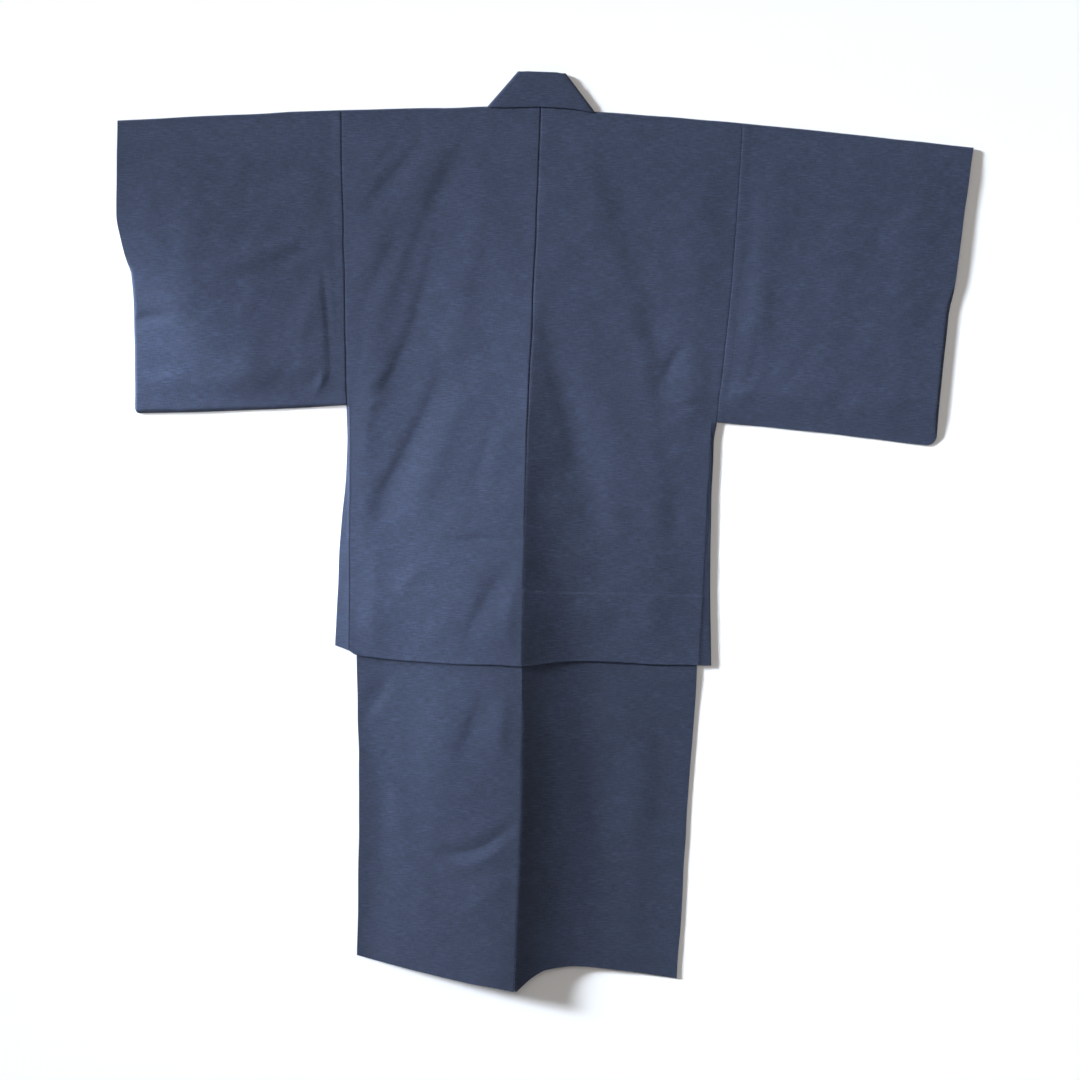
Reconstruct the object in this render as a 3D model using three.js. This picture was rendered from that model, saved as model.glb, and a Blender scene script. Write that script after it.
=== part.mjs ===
// A man's kimono with its haori coat over it, laid out flat and face down, sleeves spread.
// Millimetres. +X points to the wearer's right sleeve, +Y to the collar, +Z up, away from the surface.
// While it is drawn, x = 0 is the centre-back seam and y = 0 the back of the neck; the last lines
// move the finished set so that the origin is the middle of its underside.
import * as THREE from 'three';

const WALL = 1.2; // one layer of cloth
const LAYER = 1.6; // from the middle of one layer to the middle of the next
const FLOOR = WALL / 2; // middle of a layer that lies on the surface
const SEAM = 0.35; // air between two pieces where they are sewn together
const NECK = 90; // half the width of the neck, where the shoulder begins
const SHOULDER_TURN = [-60, -30, 0, 30, 60]; // degrees round the fold over the shoulder
const NAVY = 0x46506c;
const INDIGO = 0x3f4966;
const SLATE = 0x3a4358;

const mix = (a, b, t) => a + (b - a) * t;
const clamp = (t) => Math.min(1, Math.max(0, t));
const ease = (from, to, value) => {
  const t = clamp((value - from) / (to - from));
  return t * t * (3 - 2 * t);
};

// Reads a short table of turning points: the value of one column where another has a given value.
function read(rows, key, value, column) {
  const rising = rows[rows.length - 1][key] > rows[0][key];
  let k = 1;
  while (k < rows.length - 1 && (rising ? rows[k][key] < value : rows[k][key] > value)) k += 1;
  const t = (value - rows[k - 1][key]) / (rows[k][key] - rows[k - 1][key]);
  return mix(rows[k - 1][column], rows[k][column], clamp(t));
}

// Outlines of each half, as distances out from the centre-back line.
const NECK_SEAM = [
  { x: 0, y: 0 },
  { x: 30, y: -0.9 },
  { x: 60, y: -3.6 },
  { x: 90, y: -8.2 },
];
const HAORI = {
  armpitShare: 0.55, // how far down the back the sleeve ends
  left: {
    sign: -1,
    shoulder: [{ x: 90, y: -3 }, { x: 338, y: -16 }, { x: 714, y: -44 }],
    sleeveSeam: [{ y: -16, x: 338 }, { y: -251, x: 326 }, { y: -513, x: 314 }],
    gussetTop: 308,
    cuff: [
      { y: -44, x: 714 },
      { y: -203, x: 711 },
      { y: -250, x: 701 },
      { y: -298, x: 685 },
      { y: -413, x: 675 },
      { y: -536, x: 671 },
    ],
    cuffEnd: -298, // where the hand opening stops and the cuff edge is sewn shut
    sleeveHem: [{ x: 314, y: -513 }, { x: 477, y: -526 }, { x: 672, y: -537 }],
    side: [
      { y: -513, x: 314 },
      { y: -589, x: 311 },
      { y: -758, x: 317 },
      { y: -919, x: 322 },
    ],
    gussetHem: 298, // the gusset's seam runs straight from the armpit to here
    hem: [
      { x: 0, y: -944 },
      { x: 178, y: -942 },
      { x: 285, y: -934 },
      { x: 298, y: -927 },
      { x: 322, y: -919 },
    ],
  },
  right: {
    sign: 1,
    shoulder: [{ x: 90, y: -6 }, { x: 342, y: -19 }, { x: 732, y: -49 }],
    sleeveSeam: [{ y: -19, x: 342 }, { y: -266, x: 332 }, { y: -524, x: 312 }],
    gussetTop: 304,
    cuff: [
      { y: -49, x: 732 },
      { y: -137, x: 722 },
      { y: -306, x: 703 },
      { y: -442, x: 690 },
      { y: -554, x: 683 },
    ],
    cuffEnd: -306,
    sleeveHem: [{ x: 312, y: -524 }, { x: 487, y: -537 }, { x: 684, y: -555 }],
    side: [
      { y: -524, x: 312 },
      { y: -560, x: 307 },
      { y: -740, x: 307 },
      { y: -934, x: 314 },
    ],
    gussetHem: 295,
    hem: [
      { x: 0, y: -944 },
      { x: 59, y: -936 },
      { x: 126, y: -933 },
      { x: 211, y: -936 },
      { x: 314, y: -935 },
    ],
  },
};
const KIMONO = {
  armpitShare: 0.34,
  left: {
    sign: -1,
    side: [
      { y: -505, x: 303 },
      { y: -600, x: 296 },
      { y: -760, x: 290 },
      { y: -935, x: 285 },
      { y: -1179, x: 274 },
      { y: -1441, x: 270 },
    ],
    hem: [{ x: 0, y: -1491 }, { x: 163, y: -1464 }, { x: 270, y: -1441 }],
    frontHem: -1434,
    frontRise: 0, // layers between this front and the haori
  },
  right: {
    sign: 1,
    side: [
      { y: -505, x: 300 },
      { y: -600, x: 292 },
      { y: -760, x: 290 },
      { y: -939, x: 290 },
      { y: -1164, x: 281 },
      { y: -1333, x: 276 },
      { y: -1465, x: 271 },
    ],
    hem: [
      { x: 0, y: -1491 },
      { x: 27, y: -1467 },
      { x: 52, y: -1454 },
      { x: 98, y: -1448 },
      { x: 175, y: -1454 },
      { x: 271, y: -1465 },
    ],
    frontHem: -1440,
    frontRise: 1,
  },
};
const SLEEVE_INSET = 18; // the kimono's sleeve lies this far inside the haori's

// The centre-back seam strays a little as the set lies.
const CENTRE = [
  { y: 0, x: 0 },
  { y: -326, x: -4 },
  { y: -580, x: -8 },
  { y: -834, x: -7 },
  { y: -944, x: -5 },
  { y: -1172, x: 0 },
  { y: -1491, x: -3 },
];
const centre = (y) => read(CENTRE, 'y', y, 'x');

// The centre-back crease stands up as a ridge. It slopes gently on the left, and on the right it
// does so as far down as the shoulder blades, then drops ever more steeply towards the hem.
const RIDGE = { height: 36, reach: 700, gentleFoot: 280, steepFoot: 135 };
function ridge(x, y) {
  const height = RIDGE.height * (1 - Math.exp(-Math.pow(Math.max(0, -y) / RIDGE.reach, 1.6)));
  const off = x - centre(y);
  const gentleFoot = mix(130, RIDGE.gentleFoot, ease(-200, -900, y));
  const gentle = Math.pow(Math.max(0, 1 - Math.abs(off) / gentleFoot), 1.15);
  if (off < 0) return height * gentle;
  const steepFoot = mix(28, RIDGE.steepFoot, ease(-330, -800, y));
  const steep = Math.pow(Math.max(0, 1 - off / steepFoot), 1.7);
  return height * mix(gentle, steep, ease(-320, -640, y));
}

// Soft folds pressed into the cloth: each runs from one point to the other, deepest in the middle.
const FOLDS = [
  { on: 'haori', x0: -100, y0: -50, x1: -185, y1: -330, wide: 20, deep: -4 },
  { on: 'haori', x0: -175, y0: -290, x1: -235, y1: -500, wide: 20, deep: -3.5 },
  { on: 'haori', x0: -155, y0: -400, x1: -255, y1: -650, wide: 24, deep: -3 },
  { on: 'haori', x0: -215, y0: -60, x1: -318, y1: -260, wide: 18, deep: -2.5 },
  { on: 'haori', x0: -60, y0: -560, x1: -225, y1: -760, wide: 34, deep: 3 },
  { on: 'haori', x0: -45, y0: -790, x1: -110, y1: -925, wide: 16, deep: -3 },
  { on: 'haori', x0: 98, y0: -60, x1: 180, y1: -320, wide: 22, deep: -3.5 },
  { on: 'haori', x0: 150, y0: -130, x1: 205, y1: -390, wide: 20, deep: 3 },
  { on: 'haori', x0: 175, y0: -380, x1: 245, y1: -620, wide: 22, deep: -4 },
  { on: 'haori', x0: 236, y0: -560, x1: 258, y1: -780, wide: 18, deep: -2.5 },
  { on: 'haori', x0: -318, y0: -440, x1: -205, y1: -500, wide: 16, deep: -3 },
  { on: 'haori', x0: 240, y0: -455, x1: 310, y1: -490, wide: 14, deep: -2.5 },
  { on: 'sleeve', x0: -362, y0: -170, x1: -338, y1: -480, wide: 16, deep: -3 },
  { on: 'sleeve', x0: -385, y0: -260, x1: -362, y1: -470, wide: 18, deep: 3 },
  { on: 'sleeve', x0: -700, y0: -190, x1: -585, y1: -500, wide: 60, deep: 6 },
  { on: 'sleeve', x0: -620, y0: -330, x1: -370, y1: -215, wide: 18, deep: -1.6 },
  { on: 'sleeve', x0: 330, y0: -400, x1: 470, y1: -515, wide: 20, deep: -2.5 },
  { on: 'sleeve', x0: 345, y0: -470, x1: 655, y1: -500, wide: 18, deep: 2.5 },
  { on: 'sleeve', x0: 350, y0: -130, x1: 560, y1: -330, wide: 34, deep: -1.8 },
  { on: 'kimono', x0: -262, y0: -960, x1: -200, y1: -1085, wide: 24, deep: -2.8 },
  { on: 'kimono', x0: -235, y0: -1100, x1: -60, y1: -1015, wide: 22, deep: 2.4 },
  { on: 'kimono', x0: -150, y0: -1290, x1: -15, y1: -1215, wide: 22, deep: 3 },
  { on: 'kimono', x0: -140, y0: -1330, x1: -20, y1: -1270, wide: 18, deep: -2.2 },
  { on: 'kimono', x0: 120, y0: -1010, x1: 165, y1: -1380, wide: 30, deep: 2.6 },
  { on: 'kimono', x0: 235, y0: -1040, x1: 205, y1: -1250, wide: 22, deep: -2.4 },
];
function folds(on, x, y) {
  let height = 0;
  for (const f of FOLDS) {
    if (f.on !== on) continue;
    const length = Math.hypot(f.x1 - f.x0, f.y1 - f.y0);
    const ux = (f.x1 - f.x0) / length;
    const uy = (f.y1 - f.y0) / length;
    const along = ((x - f.x0) * ux + (y - f.y0) * uy) / length;
    const across = (x - f.x0) * uy - (y - f.y0) * ux;
    if (along <= 0 || along >= 1) continue;
    height += f.deep * Math.sin(Math.PI * along) * Math.exp(-((across / f.wide) ** 2));
  }
  return height;
}

// Heights of the middles of the layers. Two fronts overlap only near the centre, and the backs
// lie over that step in a wide slope.
const overlap = (x) => 1 - ease(122, 148, Math.abs(x));
const over = (x) => 1 - ease(130, 250, Math.abs(x));
const HAORI_FRONT_END = -948;
const lifted = (y) => ease(HAORI_FRONT_END - 70, HAORI_FRONT_END - 4, y);
const kimonoFront = (rise, x, y) => FLOOR + LAYER * (lifted(y) + rise * overlap(x));
function kimonoBack(x, y) {
  const edge = read(x < 0 ? KIMONO.left.side : KIMONO.right.side, 'y', y, 'x');
  const open = ease(edge - 4, edge - 75, Math.abs(x)) * (1 - ease(-1050, -950, y));
  const air = open * Math.max(0.3, 4.5 + folds('kimono', x, y));
  return FLOOR + LAYER * (lifted(y) + 1 + over(x)) + ridge(x, y) + air;
}
function haoriBack(half, x, y) {
  const kimonoEdge = read((half.sign < 0 ? KIMONO.left : KIMONO.right).side, 'y', y, 'x');
  const below = ease(-500, -560, y);
  const seam = gussetSeam(half, y);
  const down = 0.3 * below * ease(kimonoEdge + 1, seam, Math.abs(x));
  const rim = mix(read(half.sleeveSeam, 'y', y, 'x'), kimonoEdge, below);
  const open = ease(rim - 2, rim - 60, Math.abs(x)) * ease(-14, -90, y);
  const air = open * Math.max(0.3, mix(2.5, 5, ease(-944, -850, y)) + folds('haori', x, y));
  return FLOOR + LAYER * (3 + over(x)) - down + ridge(x, y) + air;
}

// Seams at a body's outer edge. Underneath, the sleeve's seam is straight.
const gussetSeam = (half, y) => mix(half.gussetTop, half.gussetHem, clamp((-515 - y) / 415));
const sleeveSeam = (half, leg, y) => (leg === 'front'
  ? read([half.sleeveSeam[0], half.sleeveSeam[2]], 'y', y, 'x')
  : read(half.sleeveSeam, 'y', y, 'x'));

// A closed wall of cloth over the kept cells of a grid. point(column, row, face) places a corner on
// the outer face (1) or the inner face (-1) of the cloth.
const set = new THREE.Group();
set.name = 'kimono_and_haori';
function wall(name, colour, columns, rows, kept, point) {
  const corners = new Map();
  const positions = [];
  const faces = [];
  const corner = (i, j, face) => {
    const key = (i * rows.length + j) * 2 + (face > 0 ? 1 : 0);
    if (!corners.has(key)) {
      corners.set(key, positions.length / 3);
      positions.push(...point(columns[i], rows[j], face));
    }
    return corners.get(key);
  };
  const isKept = (i, j) => i >= 0 && j >= 0 && i < columns.length - 1 && j < rows.length - 1
    && kept(columns[i], columns[i + 1], rows[j], rows[j + 1]);
  const quad = (a, b, c, d) => faces.push(a, b, c, a, c, d);
  for (let i = 0; i < columns.length - 1; i += 1) {
    for (let j = 0; j < rows.length - 1; j += 1) {
      if (!isKept(i, j)) continue;
      const ring = [[i, j], [i + 1, j], [i + 1, j + 1], [i, j + 1]];
      const beyond = [[i, j - 1], [i + 1, j], [i, j + 1], [i - 1, j]];
      const outer = ring.map(([p, q]) => corner(p, q, 1));
      const inner = ring.map(([p, q]) => corner(p, q, -1));
      quad(outer[0], outer[1], outer[2], outer[3]);
      quad(inner[3], inner[2], inner[1], inner[0]);
      for (let k = 0; k < 4; k += 1) {
        const next = (k + 1) % 4;
        if (!isKept(...beyond[k])) quad(outer[next], outer[k], inner[k], inner[next]);
      }
    }
  }
  let volume = 0;
  const [p, q, r] = [new THREE.Vector3(), new THREE.Vector3(), new THREE.Vector3()];
  for (let k = 0; k < faces.length; k += 3) {
    p.fromArray(positions, faces[k] * 3);
    q.fromArray(positions, faces[k + 1] * 3);
    r.fromArray(positions, faces[k + 2] * 3);
    volume += p.dot(q.cross(r)) / 6;
  }
  if (volume < 0) faces.reverse();
  const geometry = new THREE.BufferGeometry();
  geometry.setAttribute('position', new THREE.Float32BufferAttribute(positions, 3));
  geometry.setIndex(faces);
  geometry.computeVertexNormals();
  const mesh = new THREE.Mesh(geometry, new THREE.MeshStandardMaterial({ color: colour }));
  mesh.name = name;
  set.add(mesh);
}
const everywhere = () => true;

// Rows of a length of cloth that goes from the front's lower edge over the shoulder to the back's.
// share is how far down from the shoulder, 0 to 1.
function overShoulder(frontShares, backShares) {
  const front = [...frontShares].reverse().map((share) => ({ leg: 'front', share }));
  const fold = SHOULDER_TURN.map((angle) => ({ leg: 'fold', angle, share: 0 }));
  const back = backShares.map((share) => ({ leg: 'back', share }));
  return [...front, ...fold, ...back];
}

// A corner of such a length. at.x(leg, column, y), at.top(x), at.end(leg, x) and at.z(leg, x, y)
// describe it; the fold is round, as wide as its two layers are apart.
function foldedPoint(at, column, row, face) {
  const half = (face * WALL) / 2;
  const xTop = at.x('back', column, at.top(at.x('back', column, 0)));
  const yTop = at.top(xTop);
  const high = at.z('back', xTop, yTop);
  const low = at.z('front', xTop, yTop);
  const round = column < 0 ? 0 : (high - low) / 2;
  const turn = yTop - round;
  if (row.leg === 'fold') {
    const angle = THREE.MathUtils.degToRad(row.angle);
    const radius = round + half;
    return [xTop, turn + radius * Math.cos(angle), (high + low) / 2 + radius * Math.sin(angle)];
  }
  let x = xTop;
  let y = yTop;
  for (let pass = 0; pass < 3; pass += 1) {
    y = mix(turn, at.end(row.leg, x), row.share);
    x = at.x(row.leg, column, y);
  }
  return [x, y, at.z(row.leg, x, y) + (row.leg === 'back' ? half : -half)];
}

// Rows of a body's length of cloth. Those above the armpit are shared out along the sleeve seam.
const ABOVE_ARMPIT = [0, 0.04, 0.11, 0.2, 0.31, 0.42, 0.53, 0.64, 0.75, 0.87, 1];
const BELOW_ARMPIT = [0.01, 0.13, 0.26, 0.39, 0.53, 0.67, 0.8, 0.91, 1];
function bodyShares(at, armpit, outer) {
  const share = (armpit - turnOf(at, outer)) / (at.end('back', outer) - turnOf(at, outer));
  return [...ABOVE_ARMPIT.map((f) => f * share), ...BELOW_ARMPIT.map((g) => mix(share, 1, g))];
}
function turnOf(at, x) {
  const y = at.top(x);
  return y - (at.z('back', x, y) - at.z('front', x, y)) / 2;
}

// Body of the haori: front and back in one, folded over the shoulder, open at the front edge.
const BODY_COLUMNS = [-1, -0.72, -0.4, 0, 0.14, 0.28, 0.42, 0.56, 0.7, 0.83, 0.94, 1];
const shoulderTop = (half, x) => (x < NECK
  ? read(NECK_SEAM, 'x', x, 'y')
  : read(half.shoulder, 'x', x, 'y'));
function haoriBodyAt(half) {
  const armpit = half.sleeveSeam[2].y;
  const outer = (leg, y) => {
    const line = y > armpit - 1 ? sleeveSeam(half, leg, y) : gussetSeam(half, y);
    return line - SEAM / 2;
  };
  return {
    x: (leg, column, y) => {
      const neck = NECK + SEAM / 2;
      if (column >= 0) return half.sign * mix(neck, outer(leg, y), column);
      return mix(half.sign * neck, centre(y) + (half.sign * SEAM) / 2, -column);
    },
    top: (x) => shoulderTop(half, Math.abs(x)),
    end: (leg, x) => read(half.hem, 'x', Math.abs(x), 'y'),
    z: (leg, x, y) => (leg === 'front' ? FLOOR : haoriBack(half, x, y)),
  };
}
function haoriShares(half) {
  const edge = half.sign * half.sleeveSeam[2].x;
  return bodyShares(haoriBodyAt(half), half.sleeveSeam[2].y, edge);
}
function haoriBody(name, half) {
  const at = haoriBodyAt(half);
  const shares = haoriShares(half);
  const [armpit, gussetStart] = shares.slice(ABOVE_ARMPIT.length - 1);
  const rows = overShoulder([0, 0.03, 0.3, armpit, gussetStart, 0.78, 1], shares);
  const kept = (c0, c1, r0, r1) => c1 > 0 || (r0.leg === 'back' && r1.leg === 'back');
  wall(name, NAVY, BODY_COLUMNS, rows, kept, (c, r, face) => foldedPoint(at, c, r, face));
}
haoriBody('haori_body_left', HAORI.left);
haoriBody('haori_body_right', HAORI.right);

// Side gusset: a narrow wedge let in below the armpit, folded at the silhouette.
const GUSSET_TURN = 1.4; // radius of its fold
function gusset(name, half) {
  const at = haoriBodyAt(half);
  const shares = haoriShares(half).slice(ABOVE_ARMPIT.length);
  const columns = [
    { leg: 'front', share: 0 },
    ...[-90, -45, 0, 45, 90].map((angle) => ({ leg: 'fold', angle })),
    { leg: 'back', share: 0.5 },
    { leg: 'back', share: 0 },
  ];
  const point = (column, share, face) => {
    const edge = half.sign * half.sleeveSeam[2].x;
    const lowered = share === shares[0] ? 1 : 0;
    const y = mix(turnOf(at, edge), at.end('back', gussetSeam(half, -925)), share) - lowered;
    const seam = gussetSeam(half, y) + SEAM / 2;
    const high = haoriBack(half, half.sign * (seam - SEAM), y);
    const turnX = read(half.side, 'y', y, 'x') - GUSSET_TURN - WALL / 2;
    const flat = (face * WALL) / 2;
    if (column.leg === 'fold') {
      const angle = THREE.MathUtils.degToRad(column.angle);
      const radius = GUSSET_TURN + flat;
      const x = turnX + radius * Math.cos(angle);
      return [half.sign * x, y, FLOOR + GUSSET_TURN + radius * Math.sin(angle)];
    }
    const x = mix(turnX, seam, 1 - column.share);
    if (column.leg === 'front') return [half.sign * seam, y, FLOOR - flat];
    return [half.sign * x, y, mix(high, FLOOR + 2 * GUSSET_TURN, column.share) + flat];
  };
  wall(name, INDIGO, columns, shares, everywhere, point);
}
gusset('haori_gusset_left', HAORI.left);
gusset('haori_gusset_right', HAORI.right);

// Sleeve: one length folded over the arm, sewn shut below and, under the hand opening, at the cuff.
// Its lower outer corner is rounded.
const SLEEVE_CORNER = 18;
function sleeve(name, colour, spec, columns, shares) {
  const { sign, cloth } = spec;
  const at = {
    x: (leg, column, y) => sign * mix(spec.inner(leg, y), spec.cuff(y), column),
    top: (x) => spec.top(Math.abs(x)),
    end: (leg, x) => spec.hem(Math.abs(x)),
    z: cloth,
  };
  const point = (column, row, face) => {
    const [x, y, z] = foldedPoint(at, column, row, face);
    const toCuff = spec.cuff(y) - Math.abs(x);
    const toHem = y - spec.hem(Math.abs(x));
    if (row.leg === 'fold' || toCuff > SLEEVE_CORNER || toHem > SLEEVE_CORNER) return [x, y, z];
    const p = 1 - toCuff / SLEEVE_CORNER;
    const q = 1 - toHem / SLEEVE_CORNER;
    const inX = SLEEVE_CORNER * p * (1 - Math.sqrt(1 - (q * q) / 2));
    const inY = SLEEVE_CORNER * q * (1 - Math.sqrt(1 - (p * p) / 2));
    return [x - sign * inX, y + inY, z];
  };
  wall(name, colour, columns, overShoulder([0, 0.04, 0.5, 0.966, 0.983, 1], shares),
    everywhere, point);
}
function haoriSleeve(name, half) {
  const armpit = half.sleeveSeam[2].y;
  const cuff = (y) => read(half.cuff, 'y', y, 'x');
  const hem = (x) => (x < half.sleeveHem[0].x ? armpit : read(half.sleeveHem, 'x', x, 'y'));
  const high = (x, y) => {
    const out = Math.abs(x);
    const toCuff = cuff(y) - out;
    const toHem = y - hem(out);
    const sewn = ease(half.cuffEnd + 25, half.cuffEnd - 10, y);
    const shut = Math.max(ease(15, 0, toHem), sewn * ease(15, 0, toCuff));
    const fromSeam = out - read(half.sleeveSeam, 'y', y, 'x');
    const open = ease(2, 45, fromSeam) * ease(-28, -100, y) * ease(14, 60, toHem);
    const air = open * ease(0, 55, toCuff) * Math.max(0.3, 4 + folds('sleeve', x, y));
    return FLOOR + LAYER * (3 - 2 * shut) + air;
  };
  sleeve(name, NAVY, {
    sign: half.sign,
    inner: (leg, y) => sleeveSeam(half, leg, y) + SEAM / 2,
    cuff,
    hem,
    top: (x) => read(half.shoulder, 'x', x, 'y'),
    cloth: (leg, x, y) => (leg === 'front' ? FLOOR : high(x, y)),
  }, [0, 0.06, 0.14, 0.25, 0.38, 0.52, 0.66, 0.8, 0.9, 0.951, 0.976, 1],
  [...ABOVE_ARMPIT.slice(0, -1), 0.93, 0.966, 0.983, 1]);
}
haoriSleeve('haori_sleeve_left', HAORI.left);
haoriSleeve('haori_sleeve_right', HAORI.right);

// The kimono's body, folded over the shoulder inside the haori. Each front reaches as far as the
// overlap's seam; above it the edge slants to the neck, where the collar is sewn on.
const FRONT_SEAM = 45; // from the centre to the seam between front and overlap
const COLLAR_END = { x: -48, y: -650 };
const LAP = { reach: 105, top: -219 };
const slant = (y) => mix(NECK, COLLAR_END.x, (y + 10) / (COLLAR_END.y + 10));
const kimonoSide = (half) => (y) => (y > half.side[0].y
  ? mix(half.side[0].x, 334, (y - half.side[0].y) / (-20 - half.side[0].y))
  : read(half.side, 'y', y, 'x'));
function kimonoBodyAt(half, haori) {
  const outer = kimonoSide(half);
  return {
    x: (leg, column, y) => {
      const neck = NECK + SEAM / 2;
      const inner = Math.max(FRONT_SEAM, Math.min(NECK, slant(y))) + SEAM / 2;
      if (column < 0) return mix(half.sign * neck, centre(y) + (half.sign * SEAM) / 2, -column);
      return half.sign * mix(leg === 'front' ? inner : neck, outer(y) - SEAM / 2, column);
    },
    top: (x) => shoulderTop(haori, Math.abs(x)) - 4,
    end: (leg, x) => (leg === 'front' ? half.frontHem : read(half.hem, 'x', Math.abs(x), 'y')),
    z: (leg, x, y) => (leg === 'front' ? kimonoFront(half.frontRise, x, y) : kimonoBack(x, y)),
  };
}
const KIMONO_COLUMNS = [-1, -0.66, -0.33, 0, 0.14, 0.3, 0.48, 0.66, 0.84, 1];
const KIMONO_ABOVE = [0, 0.08, 0.45, 0.75, 1];
const STEP_ROWS = [-945, -982, -1022]; // where the kimono comes down off the haori's front
const KIMONO_BELOW = [0.16, 0.32, 0.6, 0.66, 0.72, 0.78, 0.84, 0.9, 0.95, 1];
function kimonoBody(name, half, haori) {
  const at = kimonoBodyAt(half, haori);
  const edge = half.sign * half.side[0].x;
  const turn = turnOf(at, edge);
  const armpit = (half.side[0].y - turn) / (at.end('back', edge) - turn);
  const shares = [
    ...KIMONO_ABOVE.map((f) => f * armpit),
    ...KIMONO_BELOW.map((g) => mix(armpit, 1, g)),
    ...STEP_ROWS.map((y) => (y - turn) / (at.end('back', edge) - turn)),
  ].sort((a, b) => a - b);
  const steps = STEP_ROWS.map((y) => (y - turn) / (half.frontHem - turn));
  const slantEnd = (LAP.top - turn) / (half.frontHem - turn);
  const frontArmpit = (half.side[0].y - turn) / (half.frontHem - turn);
  const frontShares = [0, 0.02, slantEnd, frontArmpit, ...steps, 1];
  const kept = (c0, c1, r0, r1) => c1 > 0 || (r0.leg === 'back' && r1.leg === 'back');
  wall(name, SLATE, KIMONO_COLUMNS, overShoulder(frontShares, shares), kept,
    (c, r, face) => foldedPoint(at, c, r, face));
}
kimonoBody('kimono_body_left', KIMONO.left, HAORI.left);
kimonoBody('kimono_body_right', KIMONO.right, HAORI.right);

// Overlap piece of each front: from its seam across the centre, slanted above under the collar.
function lap(name, half) {
  const rows = [LAP.top - 30, -320, -430, -540, COLLAR_END.y, -800, ...STEP_ROWS, -1230, 0];
  const point = (column, row, face) => {
    const y = row === 0 ? half.frontHem : row;
    const seam = FRONT_SEAM - SEAM / 2;
    const edge = Math.max(slant(y), COLLAR_END.x) + SEAM / 2;
    const x = column <= 1 ? mix(seam, edge, column) : mix(edge, -LAP.reach, column - 1);
    return [half.sign * x, y, kimonoFront(half.frontRise, half.sign * x, y) - (face * WALL) / 2];
  };
  const kept = (c0, c1, r0) => c1 <= 1 || r0 <= COLLAR_END.y;
  wall(name, INDIGO, [0, 0.5, 1, 2], rows, kept, point);
}
lap('kimono_overlap_left', KIMONO.left);
lap('kimono_overlap_right', KIMONO.right);

// The kimono's sleeves, flat inside the haori's.
function kimonoSleeve(name, half, haori) {
  const side = kimonoSide(half);
  const cuff = (y) => read(haori.cuff, 'y', y, 'x') - SLEEVE_INSET;
  const hem = (x) => read(haori.sleeveHem, 'x', Math.max(x, haori.sleeveHem[0].x), 'y')
    + SLEEVE_INSET;
  sleeve(name, SLATE, {
    sign: half.sign,
    inner: (leg, y) => side(Math.max(y, half.side[0].y)) + SEAM / 2,
    cuff,
    hem,
    top: (x) => read(haori.shoulder, 'x', x, 'y') - 4,
    cloth: (leg) => FLOOR + LAYER * (leg === 'front' ? 1 : 2),
  }, [0, 0.5, 0.951, 0.976, 1], [0, 0.08, 0.3, 0.46, 0.57, 0.75, 0.966, 0.983, 1]);
}
kimonoSleeve('kimono_sleeve_left', KIMONO.left, HAORI.left);
kimonoSleeve('kimono_sleeve_right', KIMONO.right, HAORI.right);

// Collar: one band round the back of the neck, turned under along a slanting fold on each side and
// carried down the front. Each station gives the sewn edge, the free edge and the outward normal.
function collar(name, colour, back, arms) {
  const stations = [];
  for (const arm of arms) {
    const { sign, foldSeam, foldFree, low, down } = arm;
    const run = [foldFree.x - foldSeam.x, foldFree.y - foldSeam.y];
    const length = Math.hypot(...run);
    const out = [run[1] / length, -run[0] / length];
    const round = (back.high - low) / 2;
    const place = (p, angle, radius) => {
      const reach = radius * Math.cos(angle) - round;
      return [
        sign * (p.x + out[0] * reach),
        p.y + out[1] * reach,
        (back.high + low) / 2 + radius * Math.sin(angle),
      ];
    };
    const side = [];
    for (const s of [...down].reverse()) {
      side.push((face) => [
        [sign * s.seam, s.y, low - (face * WALL) / 2],
        [sign * s.free, s.freeY ?? s.y, low - (face * WALL) / 2],
      ]);
    }
    for (const degrees of [-90, ...SHOULDER_TURN, 90]) {
      const angle = THREE.MathUtils.degToRad(degrees);
      side.push((face) => {
        const radius = round + (face * WALL) / 2;
        return [place(foldSeam, angle, radius), place(foldFree, angle, radius)];
      });
    }
    for (const s of back.stations) {
      side.push((face) => [
        [sign * s.x, s.y, back.high + (face * WALL) / 2],
        [sign * s.freeX, s.freeY, back.high + (face * WALL) / 2],
      ]);
    }
    stations.push(side);
  }
  const middle = (face) => [
    [0, back.middle.y, back.high + (face * WALL) / 2],
    [0, back.middle.freeY, back.high + (face * WALL) / 2],
  ];
  const rows = [...stations[0], middle, ...stations[1].reverse()];
  wall(name, colour, [0, 0.5, 1], rows, everywhere, (column, row, face) => {
    const [seam, free] = row(face);
    return seam.map((value, k) => mix(value, free[k], column));
  });
}
const straightArm = (end) => [
  { y: -45, seam: NECK - SEAM / 2, free: 33, freeY: -22 },
  { y: -250, seam: NECK - SEAM / 2, free: 31 },
  { y: -600, seam: NECK - SEAM / 2, free: 30 },
  { y: end, seam: NECK - SEAM / 2, free: 30 },
];
collar('haori_collar', INDIGO, {
  high: FLOOR + LAYER * 4,
  middle: { y: 0.4, freeY: 58 },
  stations: [{ x: 54, y: -2.6, freeX: 24, freeY: 58 }, { x: 25, y: -0.3, freeX: 11, freeY: 58 }],
}, [
  { sign: -1, low: FLOOR, foldSeam: { x: 88, y: -3 }, foldFree: { x: 39, y: 58 },
    down: straightArm(-939) },
  { sign: 1, low: FLOOR, foldSeam: { x: 88, y: -6 }, foldFree: { x: 39, y: 57 },
    down: straightArm(-936) },
]);
const slantedArm = [
  { y: -45, seam: slant(-45) - SEAM / 2, free: 31, freeY: -30 },
  { y: -340, seam: slant(-340) - SEAM / 2, free: slant(-340) - 57 },
  { y: COLLAR_END.y + SEAM, seam: COLLAR_END.x - SEAM / 2, free: -LAP.reach },
];
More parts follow.
